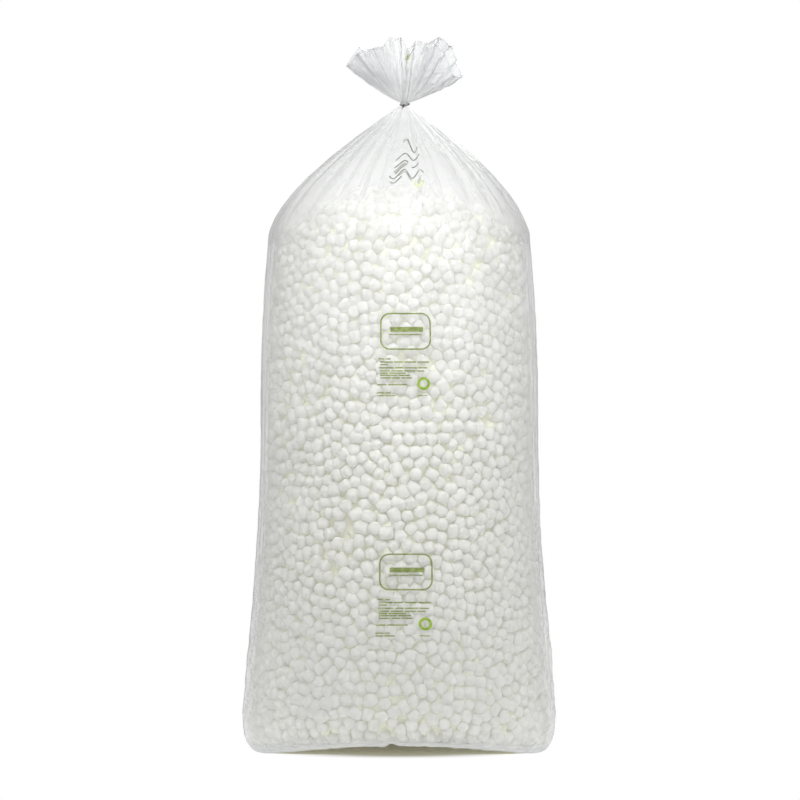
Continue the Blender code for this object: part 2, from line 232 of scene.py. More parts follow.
def cone_shape(turn, share, width):
    """How much a pleat draws the cone in, and how far the film stands out between pleats."""
    sunk, across, sharp, belly = pleat_at(turn)
    off_side = from_side(turn)
    sink = min(PLEAT_SINK * ease(share / 0.45) / width, 0.45) * (1.0 - 0.4 * share)
    swell = 1.0 - sink * sunk * sharp * blend(0.5, 1.0, ease(off_side / 0.6))
    scallop = belly + 0.05 - 0.07 * math.sin(math.pi * across)
    drape = SCALLOP * math.exp(-((share - scallop) / 0.016) ** 2) * ease(share / 0.03)
    drape *= ease((off_side - 0.25) / 0.5)
    slack = noise.noise(Vector((turn * 6.0, share * 1.5, 2.0)))
    return swell, drape + slack * SLACK * ease(share * 4) * (1.0 - share)


# How far the film stands out in ripples all over, in upright creases at the side folds and in
# wrinkles pulled slantwise low at the sides
RIPPLE = 0.0012
CREASE = 0.006
PULLED_WRINKLE = 0.004


def film_point(turn, part, share):
    if part == "frill":
        return frill_point(turn, share)
    if part == "neck":
        return neck_point(turn, share)
    side, depth = math.cos(turn), math.sin(turn)
    off_side = from_side(turn)
    oval = {"under": under_oval, "foot": foot_oval, "body": body_oval, "cone": cone_oval}[part]
    width, deep, height, lift = oval(share)
    stand = SIDE_FOLD_STAND * (1.0 - math.exp(-(off_side / 0.10) ** 2))
    lean, swell, drape = 0.0, 1.0, 0.0
    if part == "cone":
        stand *= 1.0 - share
        lean = NECK_LEAN * ease(share)
        swell, drape = cone_shape(turn, share, width)
    point = Vector((
        lean + (width - stand) * side * swell,
        deep * depth * swell,
        height + lift * depth * depth - edge_sag(turn, part, share),
    ))
    drape += noise.noise(point / 0.03) * RIPPLE
    creases = abs(noise.noise(Vector((turn * 18.0, height / 0.45, 3.0)))) * CREASE
    creases *= math.exp(-(off_side / 0.30) ** 2)
    low = ease((0.55 - height) / 0.35) * math.exp(-(off_side / 0.8) ** 2)
    slant = turn * 0.33 * (1.0 if side * depth < 0 else -1.0)
    pulled = noise.noise(Vector(((slant + height * 0.9) / 0.035, (slant - height) / 0.22, 8.0)))
    fade = {"under": 0.0, "foot": ease(share), "body": 1.0, "cone": 1.0 - ease(share * 2.5)}[part]
    out = drape + (creases + pulled * PULLED_WRINKLE * low) * fade
    return point + Vector((side, depth, 0.0)) * out


def film_rows():
    rows = [("under", share) for share in (0.0, 0.35, 0.7, 0.95)]
    rows += [("foot", share / 8) for share in range(8)]
    rows += [("body", share / 78) for share in range(78)]
    rows += [("cone", (share / 34) ** 0.92) for share in range(34)]
    rows += [("neck", share) for share in (-1.0, -0.5, 0.0, 0.5, 1.0)]
    rows += [("frill", share / 22) for share in range(1, 23)]
    return rows


# Heights between which the film over the top of the heap is milkier and painted lighter, as painted
# light from the heap's white, how soft those ends are, and where the film in front of the peanuts
# starts to be milkier and painted lighter, and over what height
HEAP_HAZE_AND_LIGHT = (1.20, 1.41)
HAZE_AND_LIGHT_END = 0.07
UPPER_HAZE_AND_LIGHT = (0.80, 0.30)
LOWER_HAZE_AND_LIGHT = (0.50, 0.35)


def heap_haze_and_painted_light(point):
    """1 where the film lies over the top of the heap: there it is milkier and painted lighter, as
    painted light from the heap's white.
    """
    return ease((point.z - HEAP_HAZE_AND_LIGHT[0]) / HAZE_AND_LIGHT_END) * ease((HEAP_HAZE_AND_LIGHT[1] - point.z) / HAZE_AND_LIGHT_END)


def end_hazes_and_painted_light(point):
    """How far a point lies in the upper and lower ends of the film before the peanuts, which are
    milkier and painted lighter as painted light.
    """
    middle = 1.0 - ease((abs(point.x) / WAIST_OVAL[0] - 0.60) / 0.30)
    middle *= ease(0.5 - point.y / 0.10)
    upper = ease((HEAP_HAZE_AND_LIGHT[1] - point.z) / HAZE_AND_LIGHT_END)
    upper *= ease((point.z - UPPER_HAZE_AND_LIGHT[0]) / UPPER_HAZE_AND_LIGHT[1])
    return middle * upper, middle * ease((LOWER_HAZE_AND_LIGHT[0] - point.z) / LOWER_HAZE_AND_LIGHT[1])


def painted_film_light(part, share, point):
    """Painted light and shade of the film: 0 is painted shade underneath, 1 a painted highlight
    where it is bunched at the neck.
    """
    # Painted light: the foot's edge, the body's sides and upper and lower ends, the middle of the
    # frill and the cone above the heap are painted lighter
    if part == "under":
        return 0.0
    if part == "foot":
        return blend(0.9, 0.5, ease(share / 0.8))
    upper, lower = end_hazes_and_painted_light(point)
    if part == "body":
        sides = 0.5 * ease((abs(point.x) / WAIST_OVAL[0] - 0.80) / 0.16)
        return blend(0.5, 1.0, max(sides, upper, 0.6 * lower))
    bunched = ease(1.0 - abs(point.z - NECK_HEIGHT) / 0.065)
    if part == "frill":
        slant = abs(point.x - NECK_LEAN) / max(point.z - NECK_HEIGHT, 0.01)
        return blend(blend(1.0, 0.25, ease((slant - 0.12) / 0.35)), 1.0, bunched)
    plain = blend(0.60, 0.5, ease((HEAP_HAZE_AND_LIGHT[0] - point.z) / 0.04))
    upper *= 1.0 - 0.5 * ease((point.z - 1.18) / 0.08)
    return blend(plain, 1.0, max(bunched, 0.5 * heap_haze_and_painted_light(point), upper))


# The most layers of film that count where it is gathered
MOST_LAYERS = 7.0


def film_density(part, share, point):
    """How much milkier than a single flat layer the film is."""
    if part == "frill":
        to_left = (NECK_LEAN - point.x) / max(point.z - NECK_HEIGHT, 0.01)
        return 1.8 + 1.4 * ease((to_left - 0.7) / 0.6)
    if part == "foot":
        return blend(7.0, 1.0, ease(share / 0.7))
    upper, lower = end_hazes_and_painted_light(point)
    return 1.2 + max(1.4 * heap_haze_and_painted_light(point), 0.9 * upper, 1.2 * lower)


def piece_from(name, mesh):
    """An object of the scene from an edited mesh, smooth shaded."""
    data = bpy.data.meshes.new(name)
    mesh.to_mesh(data)
    mesh.free()
    data.shade_smooth()
    piece = bpy.data.objects.new(name, data)
    bpy.context.scene.collection.objects.link(piece)
    return piece


def film_sheet(name):
    """A grid bent round the bag: its columns are turns, and its rows run from foot to mouth."""
    rows = film_rows()
    mesh = bmesh.new()
    gathered = mesh.verts.layers.float.new("gathered")
    painted_light_tone = mesh.verts.layers.float.new("painted_light_tone")
    bmesh.ops.create_grid(mesh, x_segments=FILM_COLUMNS, y_segments=len(rows) - 1, size=1.0)
    near = 4 * math.pi / FILM_COLUMNS
    for vertex in mesh.verts:
        column = round((vertex.co.x + 1.0) / 2 * FILM_COLUMNS)
        row = round((vertex.co.y + 1.0) / 2 * (len(rows) - 1))
        part, share = rows[row]
        turn = 2 * math.pi * (column % FILM_COLUMNS) / FILM_COLUMNS
        vertex.co = film_point(turn, part, share)
        beside = film_point(turn + near, part, share) - film_point(turn - near, part, share)
        stretch = beside.length / 4 / FLAT_COLUMN
        layers = min(max(1.0 / max(stretch, 0.1), 1.0), MOST_LAYERS)
        vertex[gathered] = layers * film_density(part, share, vertex.co)
        vertex[painted_light_tone] = painted_film_light(part, share, vertex.co)
    bmesh.ops.remove_doubles(mesh, verts=mesh.verts, dist=1e-6)
    open_edges = [edge for edge in mesh.edges if edge.is_boundary]
    foot_rim = [edge for edge in open_edges if max(v.co.z for v in edge.verts) < 0.01]
    bmesh.ops.contextual_create(mesh, geom=foot_rim)
    bmesh.ops.recalc_face_normals(mesh, faces=mesh.faces)
    return piece_from(name, mesh)


def shaded_material(name):
    """A material with its node tree and its shader."""
    material = bpy.data.materials.new(name)
    material.use_nodes = True
    return material, material.node_tree, material.node_tree.nodes["Principled BSDF"]


def feed(tree, node, inputs):
    """Sets a node's inputs, by name or number, or links them to other nodes' outputs."""
    for key, value in inputs.items():
        if isinstance(value, bpy.types.NodeSocket):
            tree.links.new(value, node.inputs[key])
        else:
            node.inputs[key].default_value = value


def add_node(tree, kind, inputs=None, **settings):
    node = tree.nodes.new("ShaderNode" + kind)
    for setting, value in settings.items():
        setattr(node, setting, value)
    feed(tree, node, inputs or {})
    return node


def figured(tree, operation, first, second=0.0):
    """What a Math node makes of one or two values."""
    node = add_node(tree, "Math", {0: first, 1: second}, operation=operation)
    return node.outputs["Value"]


def ranged(tree, value, start, end, low=0.0, high=1.0, **settings):
    """A value turned to low at the start of a range and high at its end."""
    inputs = {"Value": value, "From Min": start, "From Max": end, "To Min": low, "To Max": high}
    return add_node(tree, "MapRange", inputs, **settings).outputs["Result"]


def film_material():
    """Milky film with fine crinkles: the more slanted it is seen, the more of it light crosses."""
    material, tree, shader = shaded_material("clear_film")
    place = add_node(tree, "TexCoord").outputs["Object"]
    axes = add_node(tree, "SeparateXYZ", {"Vector": place}).outputs

    # Low at the sides, fine wrinkles sag from the side folds towards the middle
    off_middle = figured(tree, "ABSOLUTE", axes["X"])
    mirrored = add_node(tree, "CombineXYZ", {"X": off_middle, "Y": axes["Y"], "Z": axes["Z"]})
    sag = add_node(tree, "Mapping", {
        "Vector": mirrored.outputs["Vector"],
        "Rotation": (0.0, -0.46, 0.0),
        "Scale": (0.10, 0.05, 0.012),
    }, vector_type="TEXTURE").outputs["Vector"]
    wrinkles = add_node(tree, "TexNoise", {"Vector": sag, "Scale": 1.0, "Detail": 2.0})
    outward = ranged(tree, off_middle, 0.12, 0.26)
    downward = ranged(tree, axes["Z"], 0.80, 0.45)
    wrinkled = add_node(tree, "Bump", {
        "Strength": figured(tree, "MULTIPLY", outward, downward),
        "Distance": 0.006,
        "Height": wrinkles.outputs["Fac"],
    }).outputs["Normal"]
    crinkles = add_node(tree, "TexNoise", {
        "Vector": place, "Scale": 70.0, "Detail": 4.0, "Distortion": 0.6,
    })
    crinkled = add_node(tree, "Bump", {
        "Strength": 0.5,
        "Distance": 0.004,
        "Height": crinkles.outputs["Fac"],
        "Normal": wrinkled,
    }).outputs["Normal"]

    # The film's colour is painted light and shade: the ramp turns the painted tone into dark olive
    # shade underneath and lighter colour elsewhere
    painted_light_tone = add_node(tree, "Attribute", attribute_name="painted_light_tone").outputs["Fac"]
    ramp = add_node(tree, "ValToRGB", {"Fac": painted_light_tone})
    stops = ramp.color_ramp.elements
    stops[0].color = (0.19, 0.18, 0.085, 1.0)
    stops[1].color = (0.96, 0.965, 0.97, 1.0)
    stops.new(0.25).color = (0.77, 0.785, 0.80, 1.0)
    stops.new(0.5).color = (0.86, 0.87, 0.875, 1.0)

    # The share of light lost on the way through all the layers of film that it crosses
    facing = add_node(tree, "LayerWeight", {"Normal": wrinkled}).outputs["Facing"]
    upright = figured(tree, "MAXIMUM", figured(tree, "SUBTRACT", 1.0, facing), 0.14)
    layers = add_node(tree, "Attribute", attribute_name="gathered").outputs["Fac"]
    crossed = figured(tree, "DIVIDE", layers, upright)
    milk = figured(tree, "SUBTRACT", 1.0, figured(tree, "POWER", FILM_CLEARNESS, crossed))

    # Underneath, the film is made opaque and painted dark olive as shade, with a faint olive
    # painted glow towards the middle
    under = ranged(tree, painted_light_tone, 0.0, 0.2, 0.9, 0.0)
    off_axis = figured(tree, "ABSOLUTE", axes["Y"])
    inner = ranged(tree, off_axis, FOOT_CONTACT[1], FOOT_STAND[1], 0.02, 0.20)
    feed(tree, shader, {
        "Roughness": 0.17,
        "IOR": 1.7,
        "Normal": crinkled,
        "Base Color": ramp.outputs["Color"],
        "Alpha": figured(tree, "MAXIMUM", milk, under),
        "Emission Color": (0.85, 0.82, 0.52, 1.0),
        "Emission Strength": figured(tree, "MULTIPLY", under, inner),
    })
    return material


film = film_sheet("bag_film")
film.data.materials.append(film_material())
wall = film.modifiers.new("wall", "SOLIDIFY")
wall.thickness = FILM_WALL
wall.offset = -1.0
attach(film, "root")
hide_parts("film_bag")


# The print.
# Thin olive-green ink on the front of the film, the same block repeated up the tube: a frame
# round a bar, rows of broken lines, and a ring beside the last rows. A place in the print is in
# its own units, each one PRINT_SCALE of a metre, from the block's left end and foot.
PRINT_FOOTS = (0.290, 0.849)
CONE_PRINT_FOOT = 1.315
PRINT_SCALE = 0.0024
PRINT_MIDDLE = 20.3
INK_STAND = 0.0007
INK_STEP = 0.004
FRONT = 1.5 * math.pi


def front_runs():
    """How long the film's front is from its lower edge up to each of its levels."""
    before = film_point(FRONT, "foot", 0.0)
    table = [(0.0, "foot", 0.0, before.z)]
    length = 0.0
    for part, steps in (("foot", 12), ("body", 80), ("cone", 60)):
        for step in range(1, steps + 1):
            point = film_point(FRONT, part, step / steps)
            length += math.hypot(point.y - before.y, point.z - before.z)
            table.append((length, part, step / steps, point.z))
            before = point
    return table


FRONT_RUNS = front_runs()
RUN_LENGTHS = [row[0] for row in FRONT_RUNS]


def run_at(height):
    index = bisect_right([row[3] for row in FRONT_RUNS], height)
    before, after = FRONT_RUNS[index - 1], FRONT_RUNS[index]
    return blend(before[0], after[0], (height - before[3]) / (after[3] - before[3]))


def ink_point(across, run):
    """A point of the print: across the front from the camera's middle, and up along the film."""
    index = min(bisect_right(RUN_LENGTHS, run), len(FRONT_RUNS) - 1)
    length, part, share, _ = FRONT_RUNS[index]
    before = FRONT_RUNS[index - 1]
    low = before[2] if before[1] == part else 0.0
    share = blend(low, share, (run - before[0]) / (length - before[0]))
    turn = FRONT + math.asin(across / WAIST_OVAL[0])
    point = film_point(turn, part, share)
    side_way = film_point(turn + 0.01, part, share) - point
    up_way = film_point(turn, part, min(share + 0.004, 1.0))
    up_way -= film_point(turn, part, max(share - 0.004, 0.0))
    return point + side_way.cross(up_way).normalized() * INK_STAND


def ink_stroke(mesh, surface, places, width):
    """A ribbon of ink through places in the print's own units, laid on a surface."""
    line = [Vector(place) for place in places]
    middles = []
    for start, end in zip(line, line[1:]):
        steps = max(1, math.ceil((end - start).length * PRINT_SCALE / INK_STEP))
        middles += [start.lerp(end, step / steps) for step in range(steps)]
    middles.append(line[-1])
    last = len(middles) - 1
    closed = (line[0] - line[-1]).length < 1e-6
    rows = []
    for index, place in enumerate(middles):
        ahead = middles[(index + 1) % last if closed else min(index + 1, last)]
        behind = middles[(index - 1) % last if closed else max(index - 1, 0)]
        along = (ahead - behind).normalized()
        over = Vector((-along.y, along.x)) * width / 2
        rows.append([mesh.verts.new(surface(edge)) for edge in (place + over, place - over)])
    for (a, b), (c, d) in zip(rows, rows[1:]):
        mesh.faces.new((a, b, d, c))


def rounded_frame(left, right, foot, top, radius):
    corners = ((right - radius, top - radius, 0), (left + radius, top - radius, 90),
               (left + radius, foot + radius, 180), (right - radius, foot + radius, 270))
    places = []
    for x, y, start in corners:
        for step in range(9):
            turn = math.radians(start + step * 90 / 8)
            places.append((x + radius * math.cos(turn), y + radius * math.sin(turn)))
    return places + places[:1]


# The rows of broken lines, as height, left end, and the lengths of the dashes in each
DASH_ROWS = (
    (38.5, -0.3, (7.0, 6.1)), (35.5, 1.3, (14.0, 10.0, 13.0, 13.2)), (33.0, 1.3, (8.9,)),
    (29.9, 0.2, (16.0, 9.0, 14.0, 10.0)), (26.9, 1.3, (11.0, 13.0, 12.0, 9.0)),
    (24.7, 1.3, (9.0, 17.6)), (22.6, 1.3, (18.0, 13.2)), (20.1, 1.3, (12.0, 9.0, 11.8)),
    (13.5, -1.3, (10.5, 20.3)), (5.6, -1.6, (8.4, 6.0)), (2.9, -1.3, (7.7, 11.0)),
)
DASH_GAP = 1.2


def arc_places(x, y, wide, high, turns):
    """Places along an oval arc, at each of its turns."""
    return [(x + wide * math.cos(turn), y + high * math.sin(turn)) for turn in turns]


def ring_places(x, y, radius):
    places = arc_places(x, y, radius, radius, np.linspace(0, 2 * math.pi, 25))
    return places[:-1] + places[:1]


def add_print(name, foot):
    """One block of the print, with its lower edge at a height."""
    start = run_at(foot)

    def on_front(place):
        return ink_point((place.x - PRINT_MIDDLE) * PRINT_SCALE, start + place.y * PRINT_SCALE)

    mesh = bmesh.new()
    ink_stroke(mesh, on_front, rounded_frame(1.8, 51.3, 48.0, 82.5, 9.0), 1.45)
    ink_stroke(mesh, on_front, ((11.2, 67.2), (44.3, 67.2)), 4.6)
    ink_stroke(mesh, on_front, ((10.2, 62.1), (42.3, 62.1)), 1.0)
    for height, left, dashes in DASH_ROWS:
        for length in dashes:
            dash = ((left, height), (left + length - DASH_GAP, height))
            ink_stroke(mesh, on_front, dash, 1.25)
            left += length
    ink_stroke(mesh, on_front, ((38.5, 3.1), (48.2, 3.1)), 1.0)
    ink_piece(name, mesh, dark_ink)
    ring = bmesh.new()
    ink_stroke(ring, on_front, ring_places(44.4, 14.6, 5.0), 2.6)
    ink_piece(name + "_ring", ring, fresh_ink)


# The block on the cone is gathered until only the waves of its rows show: how high each row lies
# on average, from where to where it shows, how high its waves are and how wide its ink
WAVE = ((-14.0, -0.2), (-8.0, -1.0), (3.0, 1.0), (11.2, -0.9), (19.0, 1.1), (24.0, -0.4))
CONE_ROWS = (
    (54.5, 0.0, 14.5, 7.5, 0.9), (43.0, -6.6, 17.0, 4.0, 0.9), (35.7, -7.3, 6.0, 3.9, 0.9),
    (35.0, 9.5, 17.2, 3.4, 0.9), (32.6, -7.6, 5.6, 4.4, 0.6), (30.8, -7.0, 4.8, 4.6, 0.6),
    (29.0, -6.0, 4.4, 4.8, 0.6), (25.3, -12.0, 18.0, 5.0, 0.9), (23.0, -2.0, 10.6, 4.8, 0.6),
    (20.2, -11.0, 0.3, 4.4, 0.9), (27.4, 17.6, 22.8, 2.6, 0.6),
)


def wave_at(x):
    index = min(max(bisect_right([place[0] for place in WAVE], x), 1), len(WAVE) - 1)
    (left, low), (right, high) = WAVE[index - 1], WAVE[index]
    return blend(low, high, ease((x - left) / (right - left)))


def add_cone_print(name, foot):
    """The gathered block, with its lower edge at a height."""
    def on_cone(place):
        height = foot + place.y * PRINT_SCALE
        spread = WAIST_OVAL[0] / cone_oval((height - SHOULDER_HEIGHT) / CONE_RISE)[0]
        return ink_point(place.x * PRINT_SCALE * spread, run_at(height))

    rows, bits, ring = bmesh.new(), bmesh.new(), bmesh.new()
    for height, left, right, rise, width in CONE_ROWS:
        steps = np.linspace(left, right, max(4, round(right - left)))
        ink_stroke(rows, on_cone, [(x, height + rise * wave_at(x)) for x in steps], width)
    ink_piece(name, rows, veiled_ink)
    ink_stroke(bits, on_cone, ((20.8, 24.6), (18.6, 20.8), (18.9, 18.6)), 1.1)
    ink_stroke(bits, on_cone, ((16.4, 18.0), (18.0, 16.4)), 1.2)
    ink_piece(name + "_bits", bits, dark_ink)
    arc = arc_places(18.2, 17.0, 4.2, 4.0, np.linspace(-3.6, 0.6, 14))
    ink_stroke(ring, on_cone, arc, 3.2)
    ink_piece(name + "_ring", ring, pale_ink)


def add_frill_print(name, ink, places, width):
    """What shows of the next block, crumpled, in the frill's front valley."""
    def on_frill(place):
        point = frill_point(FRONT + 0.19 + place.x * 0.035, 0.82 + place.y * 0.02)
        return point - Vector((0.0, INK_STAND, 0.0))

    mesh = bmesh.new()
    ink_stroke(mesh, on_frill, places, width)
    ink_piece(name, mesh, ink)


def ink_piece(name, mesh, ink):
    piece = piece_from(name, mesh)
    piece.data.materials.append(ink)
    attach(piece, "root")
    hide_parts("film_bag")


def ink_material(name, dark, light):
    """Ink that is thinner in places, as it is on film."""
    material, tree, shader = shaded_material(name)
    place = add_node(tree, "TexCoord").outputs["Object"]
    patches = add_node(tree, "TexNoise", {"Vector": place, "Scale": 120.0})
    ramp = add_node(tree, "ValToRGB", {"Fac": patches.outputs["Fac"]})
    for stop, position, colour in zip(ramp.color_ramp.elements, (0.35, 0.70), (dark, light)):
        stop.position = position
        stop.color = (*colour, 1.0)
    feed(tree, shader, {"Base Color": ramp.outputs["Color"], "Roughness": 0.45})
    return material


dark_ink = ink_material("olive_ink", (0.20, 0.26, 0.07), (0.36, 0.43, 0.15))
fresh_ink = ink_material("green_ink", (0.22, 0.38, 0.02), (0.42, 0.58, 0.08))
pale_ink = ink_material("pale_ink", (0.66, 0.71, 0.44), (0.80, 0.83, 0.64))
veiled_ink = ink_material("veiled_ink", (0.07, 0.095, 0.055), (0.26, 0.30, 0.22))
for repeat, foot in enumerate(PRINT_FOOTS):
    add_print(f"print_{repeat}", foot)
add_cone_print("print_cone", CONE_PRINT_FOOT)
add_frill_print("print_frill", veiled_ink, ((0.2, -1.6), (1.0, 1.8)), 0.9)
add_frill_print("print_frill_pale", pale_ink, ring_places(-0.4, 0.0, 2.2), 2.6)


# The packing peanuts.
# Short rounded plugs of extruded white starch foam, poured in loose. They lie two deep under
# the film at every angle, over a pale core that only shows in the gaps between them.
CHIP_DIAMETER = 0.0285
CHIP_LENGTHS = (0.0250, 0.0288, 0.0325)
CHIP_SIZES = (0.90, 1.08)
CHIP_ROUNDING = 0.36
CHIP_SPACING = 0.0330
OUTER_CHIPS = 3340
INNER_CHIPS = 2950
LOWEST_CHIPS = 76
LOWEST_PLACE = 1.6
PACKING_ROUNDS = 14
PACKING_PUSH = 0.45
CHIP_UNDER_FILM = 0.0015
CHIP_UNEVENNESS = 0.007
SECOND_LAYER = 0.0150
CORE_DEPTH = 0.032
HEAP_RIM_SHARE = 0.15
HEAP_RISE = 0.074
CHIP_BANDS = 3
CHIP_SEED = 31


def chip_template(name, length, segments, material):
    mesh = bmesh.new()
    radius = CHIP_DIAMETER / 2
    bmesh.ops.create_cone(
        mesh, cap_ends=True, segments=segments, radius1=radius, radius2=radius, depth=length,
    )
    rims = [edge for edge in mesh.edges if abs(edge.verts[0].co.z - edge.verts[1].co.z) < 1e-6]
    bmesh.ops.bevel(
        mesh, geom=rims, offset=radius * CHIP_ROUNDING, offset_type="OFFSET", segments=1,
        profile=0.5, affect="EDGES", material=-1,
    )
    data = bpy.data.meshes.new(name)
    mesh.to_mesh(data)
    mesh.free()
    data.shade_smooth()
    data.materials.append(material)
    return bpy.data.objects.new(name, data)


def chip_material(name, colour, shadow_colour, glow, glow_above):
    """Foam: matt and faintly mottled, mixed towards a painted shade colour by its shade, with a
    painted glow that grows towards the top.
    """
    material, tree, shader = shaded_material(name)
    place = add_node(tree, "TexCoord").outputs["Object"]
    cells = add_node(tree, "TexNoise", {"Vector": place, "Scale": 220.0, "Detail": 3.0})
    mottled = add_node(tree, "Bump", {
        "Strength": 0.35, "Distance": 0.002, "Height": cells.outputs["Fac"],
    })
    mix = add_node(tree, "Mix", {
        "Factor": add_node(tree, "Attribute", attribute_name="shade").outputs["Fac"],
        "A": (*shadow_colour, 1.0),
        "B": (*colour, 1.0),
    }, data_type="RGBA")
    height = add_node(tree, "SeparateXYZ", {"Vector": place}).outputs["Z"]
    feed(tree, shader, {
        "Roughness": 0.75,
        "Specular IOR Level": 0.3,
        "Base Color": mix.outputs["Result"],
        "Emission Color": mix.outputs["Result"],
        "Emission Strength": ranged(tree, height, 0.80, 1.15, glow, glow_above),
        "Normal": mottled.outputs["Normal"],
    })
    return material


def envelope_levels():
    """The outside of the filling from the floor up to the top of the heap, as ovals."""
    levels = []
    for width, deep, height, lift in [under_oval(0.6)] + [foot_oval(step / 8) for step in range(9)]:
        levels.append((width - 0.008, deep - 0.003, height + 0.002, lift))
    for step in range(1, 41):
        width, deep, height, lift = body_oval(step / 40)
        levels.append((width - SIDE_FOLD_STAND - 0.004, deep - CHIP_UNDER_FILM, height, lift))
    for step in range(1, 4):
        share = HEAP_RIM_SHARE * step / 3
        width, deep, height, lift = cone_oval(share)
        inset = CHIP_UNDER_FILM + 0.03 * share
        levels.append((width - SIDE_FOLD_STAND - 0.004, deep - inset, height, lift))
    top = levels[-1]
    for step in range(1, 17):
        turn = step / 16 * math.pi / 2
        reach = math.cos(turn)
        levels.append((top[0] * reach, top[1] * reach, top[2] + HEAP_RISE * math.sin(turn), 0.0))
    return levels


def envelope_point(levels, turn, place):
    index = min(int(place), len(levels) - 2)
    share = place - index
    width, deep, height, lift = (
        blend(a, b, share) for a, b in zip(levels[index], levels[index + 1])
    )
    side, depth = math.cos(turn), math.sin(turn)
    return Vector((width * side, deep * depth, height + lift * depth * depth))


def envelope_normal(levels, turn, place):
    along = envelope_point(levels, turn, min(place + 0.3, len(levels) - 1.001))
    along -= envelope_point(levels, turn, max(place - 0.3, 0.0))
    round_way = envelope_point(levels, turn + 0.02, place)
    round_way -= envelope_point(levels, turn - 0.02, place)
    normal = round_way.cross(along)
    return normal.normalized() if normal.length > 1e-9 else Vector((0.0, 0.0, 1.0))


def thrown_spots(levels, seed, count):
    """Turns and places drawn at random, evenly over the envelope's surface."""
    draw = random.Random(seed)
    bands = []
    total = 0.0
    for low, high in zip(levels, levels[1:]):
        slope = math.hypot(high[2] - low[2], high[0] - low[0])
        total += slope * (low[0] + high[0])
        bands.append(total)
    spots = []
    for _ in range(count):
        target = draw.random() * total
        index = bisect_right(bands, target)
        before = bands[index - 1] if index else 0.0
        turn = draw.uniform(0.0, 2 * math.pi)
        spots.append([turn, index + (target - before) / (bands[index] - before)])
    return np.array(spots)


def scatter_places(levels, seed, count, spacing):
    """Points thrown at random over the envelope, then pushed apart until they lie close packed."""
    spots = thrown_spots(levels, seed, count)
    for _ in range(PACKING_ROUNDS):
        points = surface_points(levels, spots)
        tree = KDTree(count)
        for index, point in enumerate(points):
            tree.insert(point, index)
        tree.balance()
        moves = np.zeros_like(points)
        for index, point in enumerate(points):
            for _, other, gap in tree.find_range(point, spacing):
                if other != index and gap > 1e-6:
                    apart = (points[index] - points[other]) / gap
                    moves[index] += apart * (spacing - gap) * PACKING_PUSH
        spots = shifted(levels, spots, points, moves)
    return [
        (Vector(point), envelope_normal(levels, turn, place))
        for point, (turn, place) in zip(surface_points(levels, spots), spots)
    ]


def lowest_places(levels):
    """A closer row of points along the bag's lower edge."""
    turns = np.linspace(0.0, 2 * math.pi, LOWEST_CHIPS, endpoint=False)
    return [
        (envelope_point(levels, turn, LOWEST_PLACE), envelope_normal(levels, turn, LOWEST_PLACE))
        for turn in turns
    ]


def surface_points(levels, spots):
    table = np.array(levels)
    index = np.minimum(spots[:, 1].astype(int), len(levels) - 2)
    share = (spots[:, 1] - index)[:, None]
    width, deep, height, lift = (table[index] * (1.0 - share) + table[index + 1] * share).T
    side, depth = np.cos(spots[:, 0]), np.sin(spots[:, 0])
    return np.stack((width * side, deep * depth, height + lift * depth * depth), axis=1)


def shifted(levels, spots, points, moves):
    """Each spot slid over the surface by its move."""
    step = 0.01
    result = spots.copy()
    for axis, least in ((0, 0.02), (1, 0.002)):
        ahead = spots.copy()
        ahead[:, axis] += step
        along = (surface_points(levels, ahead) - points) / step
        reach = np.maximum((along * along).sum(axis=1), least * least)
        result[:, axis] += (moves * along).sum(axis=1) / reach
    result[:, 1] = np.clip(result[:, 1], 0.0, len(levels) - 1.02)
    return result


def chip_support(axis, normal, length):
    """How far a chip reaches from its middle towards the film."""
    along = abs(axis.dot(normal))
    across = math.sqrt(max(1.0 - along * along, 0.0))
    return (length * along + CHIP_DIAMETER * across) / 2 * 0.93


def scatter_group(templates):
    """Puts a chip on each point, turned and sized by the point's own values."""
    group = bpy.data.node_groups.new("scatter_chips", "GeometryNodeTree")
    group.interface.new_socket("Geometry", in_out="INPUT", socket_type="NodeSocketGeometry")
    group.interface.new_socket("Geometry", in_out="OUTPUT", socket_type="NodeSocketGeometry")
    nodes, links = group.nodes, group.links
    points = nodes.new("NodeGroupInput")
    forms = nodes.new("GeometryNodeCollectionInfo")
    forms.inputs["Collection"].default_value = templates
    forms.inputs["Separate Children"].default_value = True
    forms.inputs["Reset Children"].default_value = True
    place = nodes.new("GeometryNodeInstanceOnPoints")
    place.inputs["Pick Instance"].default_value = True
    links.new(points.outputs["Geometry"], place.inputs["Points"])
    links.new(forms.outputs["Instances"], place.inputs["Instance"])
    for name, kind, socket in (
        ("form", "INT", "Instance Index"), ("turned", "FLOAT_VECTOR", "Rotation"),
        ("size", "FLOAT", "Scale"),
    ):
        value = nodes.new("GeometryNodeInputNamedAttribute")
        value.data_type = kind
        value.inputs["Name"].default_value = name
        links.new(value.outputs["Attribute"], place.inputs[socket])
    solid = nodes.new("GeometryNodeRealizeInstances")
    end = nodes.new("NodeGroupOutput")
    links.new(place.outputs["Instances"], solid.inputs["Geometry"])
    links.new(solid.outputs["Geometry"], end.inputs["Geometry"])
    return group


